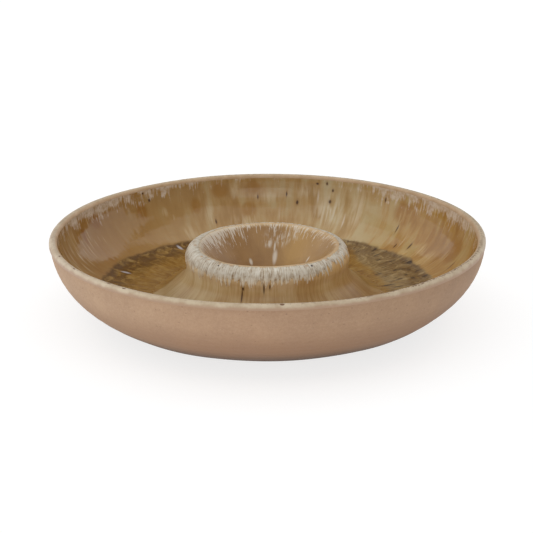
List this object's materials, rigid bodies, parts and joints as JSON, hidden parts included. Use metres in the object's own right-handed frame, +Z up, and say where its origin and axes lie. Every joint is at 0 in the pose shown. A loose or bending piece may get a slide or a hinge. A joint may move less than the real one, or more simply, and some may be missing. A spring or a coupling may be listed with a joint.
{
  "type": "chip and dip server",
  "caption": "Round glazed stoneware dish with a raised dip well at its centre and a wide ring round it for chips.",
  "frame": {"origin": "on the table, under the centre of the dish: the centre of the circle its foot ring stands on", "axes": "+Z up along the dish's axis of revolution, X and Y across it"},
  "size_m": [0.3, 0.3, 0.06],
  "materials": {
    "clay": "unglazed matte pinkish tan",
    "amber_glaze": "gloss, amber brown reactive glaze",
    "cream_glaze": "satin cream, brown pits along its inner edge",
    "white_glaze": "gloss white, run down in tongues"
  },
  "bodies": {
    "root": {"dish": "clay", "well_ring": "clay", "well_bowl": "clay", "dish_glaze": "amber_glaze", "well_glaze": "amber_glaze", "rim_glaze": "cream_glaze", "collar_glaze": "white_glaze"}
  },
  "joints": []
}
